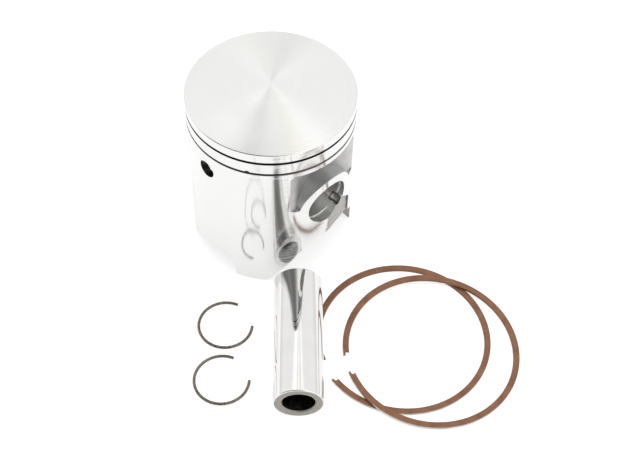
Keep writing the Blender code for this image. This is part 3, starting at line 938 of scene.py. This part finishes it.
# %% [markdown]
# A helper gives the tree its sizes on an empty mesh, and reads the result back.

# %% Bending a section into an open circle
def open_circle(name, **sizes):
    carrier = bpy.data.objects.new(name, bpy.data.meshes.new(name))
    bpy.context.scene.collection.objects.link(carrier)
    modifier = carrier.modifiers.new("open_circle", "NODES")
    modifier.node_group = OPEN_CIRCLE.tree
    for label, value in sizes.items():
        modifier[OPEN_CIRCLE.identifiers[label.replace("_", " ")]] = value
    return applied(carrier, name)


print("the helper takes:", ", ".join(OPEN_CIRCLE.identifiers))

# %% [markdown]
# ## The rings
# A free ring is wider than its groove and springs open. Each end is notched on its inner
# side, so that a thin outer horn reaches past the round locating pin. One extruded shape
# with a round end cuts the notch.

# %% Make a ring
RING_RADIUS = (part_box("second_ring")[1].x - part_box("second_ring")[0].x) / 2
RING_WIDTH = 2.5 * MM
HORN_WIDTH = 0.9 * MM
HORN_LENGTH = 1.5 * MM
NOTCH_ROUND = (0.75 * MM, 0.7 * MM)                # across the ring, and along it
RING_GAPS = {"second_ring": (-105.8, 14.0), "top_ring": (-121.0, 13.0)}    # middle, width


def ring_end_cutter(angle, side):
    """What the notch takes from one ring end; `side` is the way into the metal."""
    inner, outer = RING_RADIUS - RING_WIDTH - MM, RING_RADIUS - HORN_WIDTH
    across, along = NOTCH_ROUND
    depth = side * HORN_LENGTH
    straight = depth - side * along
    outline = [(inner, -side * MM), (outer, -side * MM), (outer, straight)]
    outline += [(outer - across + across * cos(a), straight + side * along * sin(a))
                for a in (0.4, 0.8, 1.2, 1.6, 2.0, 2.4)]
    outline.append((inner, depth - side * along / 2))
    return extruded("ring_end", outline, -MM, 3 * MM, "brown_phosphate",
                    Matrix.Rotation(angle, 4, "Z"))


def make_ring(node):
    middle, width = (radians(value) for value in RING_GAPS[node])
    start, sweep = middle + width / 2, 2 * pi - width
    ring = open_circle("fine_" + node, Radius=RING_RADIUS - RING_WIDTH / 2, Start=start,
                       Sweep=sweep, Width=RING_WIDTH, Height=RING_THICKNESS,
                       Corner=0.12 * MM, Stations=240, Corner_stations=3,
                       Skin=FINISH_MATERIALS["brown_phosphate"],
                       Outer_face=FINISH_MATERIALS["plated_face"])
    ring.data.transform(Matrix.Translation((0, 0, RING_THICKNESS / 2)))
    cutters = [ring_end_cutter(start, 1), ring_end_cutter(start + sweep, -1)]
    for cutter in cutters:
        cut(ring, cutter)
    ring = applied(ring, "fine_" + node, 40)
    for cutter in cutters:
        bpy.data.objects.remove(cutter, do_unlink=True)
    return ring


print(f"a free ring is {2 * RING_RADIUS / MM:.1f} mm across")

# %% [markdown]
# The second ring lies flat. The top ring leans on it, so its slope comes from how much
# higher its box is than one ring's thickness.

# %% Lay the rings down
def lie_of_second_ring():
    low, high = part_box("second_ring")
    return Matrix.Translation(((low.x + high.x) / 2, (low.y + high.y) / 2, 0))


def lie_of_top_ring():
    """Its low edge is on the bench and its high edge on the second ring."""
    low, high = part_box("top_ring")
    middle = Vector(((low.x + high.x) / 2, (low.y + high.y) / 2, 0))
    away = middle - lie_of_second_ring().translation
    heading = Matrix.Rotation(atan2(away.y, away.x), 4, "Z")
    slope = (high.z - RING_THICKNESS) / (2 * RING_RADIUS)
    tilt = Matrix.Rotation(slope, 4, "Y")
    lift = Matrix.Translation(middle + Vector((0, 0, RING_RADIUS * slope)))
    return lift @ heading @ tilt @ heading.inverted()


for node, lie in (("second_ring", lie_of_second_ring()), ("top_ring", lie_of_top_ring())):
    ring = make_ring(node)
    ring.data.transform(lie)
    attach(ring, node + "_body")
    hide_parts(node)
    print(ring.name, len(ring.data.polygons), "faces")

# %% [markdown]
# ## The circlips
# A plain round-wire clip at each end of the bore keeps the wrist pin in. Its ends are
# cut square, and a small bevel takes their burr off.

# %% Make the circlips
CLIP_RADIUS = (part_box("front_circlip")[1].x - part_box("front_circlip")[0].x) / 2
CLIP_GAPS = {"rear_circlip": (76.9, 68.0), "front_circlip": (78.7, 68.6)}  # middle, width


def make_circlip(node):
    middle, width = (radians(value) for value in CLIP_GAPS[node])
    wire = FINISH_MATERIALS["spring_wire"]
    clip = open_circle("bent_" + node, Radius=CLIP_RADIUS - WIRE / 2, Start=middle + width / 2,
                       Sweep=2 * pi - width, Width=WIRE, Height=WIRE, Corner=WIRE / 2,
                       Stations=140, Corner_stations=6, Skin=wire, Outer_face=wire)
    soften(clip, 0.1 * MM, 2)
    clip = applied(clip, "wire_" + node, 50)
    low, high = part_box(node)
    clip.data.transform(Matrix.Translation(((low.x + high.x) / 2, low.y + CLIP_RADIUS, WIRE / 2)))
    return clip


for node in CLIP_GAPS:
    clip = make_circlip(node)
    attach(clip, node + "_body")
    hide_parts(node)
    print(clip.name, len(clip.data.polygons), "faces")

# The camera stands half a metre off with a long lens, so that the near pieces don't look
# too large. It is turned a touch about its own line of sight, and it has no depth of
# field.

# %% Camera
BENCH_POINT = Vector((-31.16, 29.93, 0)) * MM
CAMERA_AZIMUTH = -45.4
CAMERA_HEIGHT_ANGLE = 52.33
CAMERA_DISTANCE = 526.85 * MM
CAMERA_ROLL = 0.03
CAMERA_LENS = 69.8
FILM_WIDTH = 36


def direction_to(azimuth, height_angle):
    """The direction to a place round the bench, from two angles in degrees."""
    flat = cos(radians(height_angle))
    return (cos(radians(azimuth)) * flat, sin(radians(azimuth)) * flat,
            sin(radians(height_angle)))


def make_camera():
    camera = bpy.data.objects.new("camera", bpy.data.cameras.new("camera"))
    bpy.context.scene.collection.objects.link(camera)
    toward_camera = Vector(direction_to(CAMERA_AZIMUTH, CAMERA_HEIGHT_ANGLE))
    aim = toward_camera.to_track_quat("Z", "Y").to_matrix().to_4x4()
    stand = Matrix.Translation(BENCH_POINT + toward_camera * CAMERA_DISTANCE)
    camera.matrix_world = stand @ aim @ Matrix.Rotation(CAMERA_ROLL, 4, "Z")
    camera.data.sensor_width = FILM_WIDTH
    camera.data.lens = CAMERA_LENS
    camera.data.clip_start = 10 * MM
    bpy.context.scene.camera = camera
    return camera


camera = make_camera()
bpy.context.scene.view_settings.view_transform = "Standard"
print("camera at", [round(value, 4) for value in camera.matrix_world.translation])

# %% [markdown]
# ## Bench
# The bench is a light table: a pale sheet that also glows, so that it stays white, and
# no piece throws a heavy shadow on it. A large lamp above adds the rest of the light.
# The lamp doesn't show in the metal, so the sky can be tuned by itself.

# %% Bench and lamp
BENCH_HALF_WIDTH = 3
BENCH_GLOW = 0.74
BENCH_GREYS = (0.345, 0.355)
LAMP_WIDTH = 1.6
LAMP_HEIGHT = 1.5
LAMP_POWER = 16


def make_bench():
    mesh_builder = bmesh.new()
    bmesh.ops.create_grid(mesh_builder, x_segments=1, y_segments=1, size=BENCH_HALF_WIDTH)
    mesh = bpy.data.meshes.new("bench")
    mesh_builder.to_mesh(mesh)
    mesh_builder.free()
    bench = bpy.data.objects.new("bench", mesh)
    bpy.context.scene.collection.objects.link(bench)
    low, high = ((grey, grey, grey) for grey in BENCH_GREYS)
    finish = metal("light_table", low, 0.9, 0.0, Specular_IOR_Level=0.0,
                   Emission_Strength=BENCH_GLOW, Emission_Color=(1, 1, 1, 1))
    grain = finish.noise(finish.place(), 60 * MM)
    finish.set(Base_Color=finish.blend(grain, low, high))
    mesh.materials.append(FINISH_MATERIALS["light_table"])
    return bench


def make_lamp():
    lamp = bpy.data.objects.new("lamp", bpy.data.lights.new("lamp", "AREA"))
    bpy.context.scene.collection.objects.link(lamp)
    lamp.data.size = LAMP_WIDTH
    lamp.data.energy = LAMP_POWER
    lamp.location = (0, 0, LAMP_HEIGHT)
    lamp.visible_glossy = False
    return lamp


print("made", make_bench().name, "and", make_lamp().name)

# %% [markdown] ## Sky Bright metal shows its surroundings more than itself, so the sky
# is what the metal looks like. It is a white tent, duller near the horizon, with one
# dull side of the room on the left of the camera. They draw the soft fans of light on
# the crown.

# %% Sky
ROOM = (-77, 28)             # azimuth and height angle of the dull side of the room
ROOM_EDGES = (55, 35)        # degrees from its middle, where it starts and is at its full
ROOM_DULLNESS = 0.8
WALL = (135, 40)             # the far wall, and how much brighter the side opposite it is
SIDE_OPPOSITE_WALL = 1.06
HORIZON = 0.8                # brightness there
TENT_HEIGHT = 0.3            # sine of the height angle at which the tent is at its full
FAN = (134.6, 45.6)          # where the spokes of the fan meet
PANELS = (                   # (degrees round that point from straight above, colour)
    (-180, (1.09, 1.09, 1.09)), (-62, (1.06, 1.06, 1.06)), (-46, (1.3, 1.3, 1.3)),
    (-34, (1.6, 1.6, 1.6)), (-25, (1.3, 1.3, 1.3)), (-18, (1.08, 1.08, 1.09)),
    (-10, (1.08, 1.08, 1.09)), (-5, (1.3, 1.3, 1.31)), (7, (1.25, 1.25, 1.26)),
    (12, (1.02, 1.0, 0.86)), (18, (1.02, 1.0, 0.86)), (26, (1.3, 1.3, 1.3)),
    (38, (1.3, 1.3, 1.3)), (50, (1.08, 1.08, 1.08)), (66, (1.06, 1.06, 1.06)),
    (180, (1.09, 1.09, 1.09)))


def along(sky, direction, azimuth, height_angle):
    """How far the view points to a place: the cosine of the angle between them."""
    place = direction_to(azimuth, height_angle)
    return sky.vector("DOT_PRODUCT", direction, place, output="Value")


def fan_of_panels(sky, direction):
    azimuth, height_angle = FAN
    across = along(sky, direction, azimuth - 90, 0)
    upward = along(sky, direction, azimuth - 180, 90 - height_angle)
    turn = sky.math("ARCTAN2", across, upward) * (0.5 / pi) + 0.5
    panels = sky.add("ValToRGB", None, {"Fac": turn})
    ramp = panels.socket.node.color_ramp
    for angle, colour in PANELS[1:-1]:
        ramp.elements.new(angle / 360 + 0.5)
    for element, (angle, colour) in zip(ramp.elements, PANELS):
        element.color = (*colour, 1)
    return panels


def make_sky():
    world = bpy.data.worlds.new("studio")
    world.use_nodes = True
    bpy.context.scene.world = world
    sky = Finish(world.node_tree, "Background")
    direction = sky.add("TexCoord", output="Generated")
    start, full = (cos(radians(angle)) for angle in ROOM_EDGES)
    room = sky.between(along(sky, direction, *ROOM), start, full)
    wall = sky.between(along(sky, direction, *WALL), 0.0, 0.8, SIDE_OPPOSITE_WALL, 1.0)
    height = sky.vector("DOT_PRODUCT", direction, (0, 0, 1), output="Value")
    tent = sky.between(height, 0.0, TENT_HEIGHT, HORIZON, 1.0)
    sky.set(Color=fan_of_panels(sky, direction), Strength=tent * wall * (1 - room * ROOM_DULLNESS))


make_sky()
print("a sky with", len(PANELS), "stops round its fan")

# %% [markdown]
# ## Done

# %% Finish
print("done")
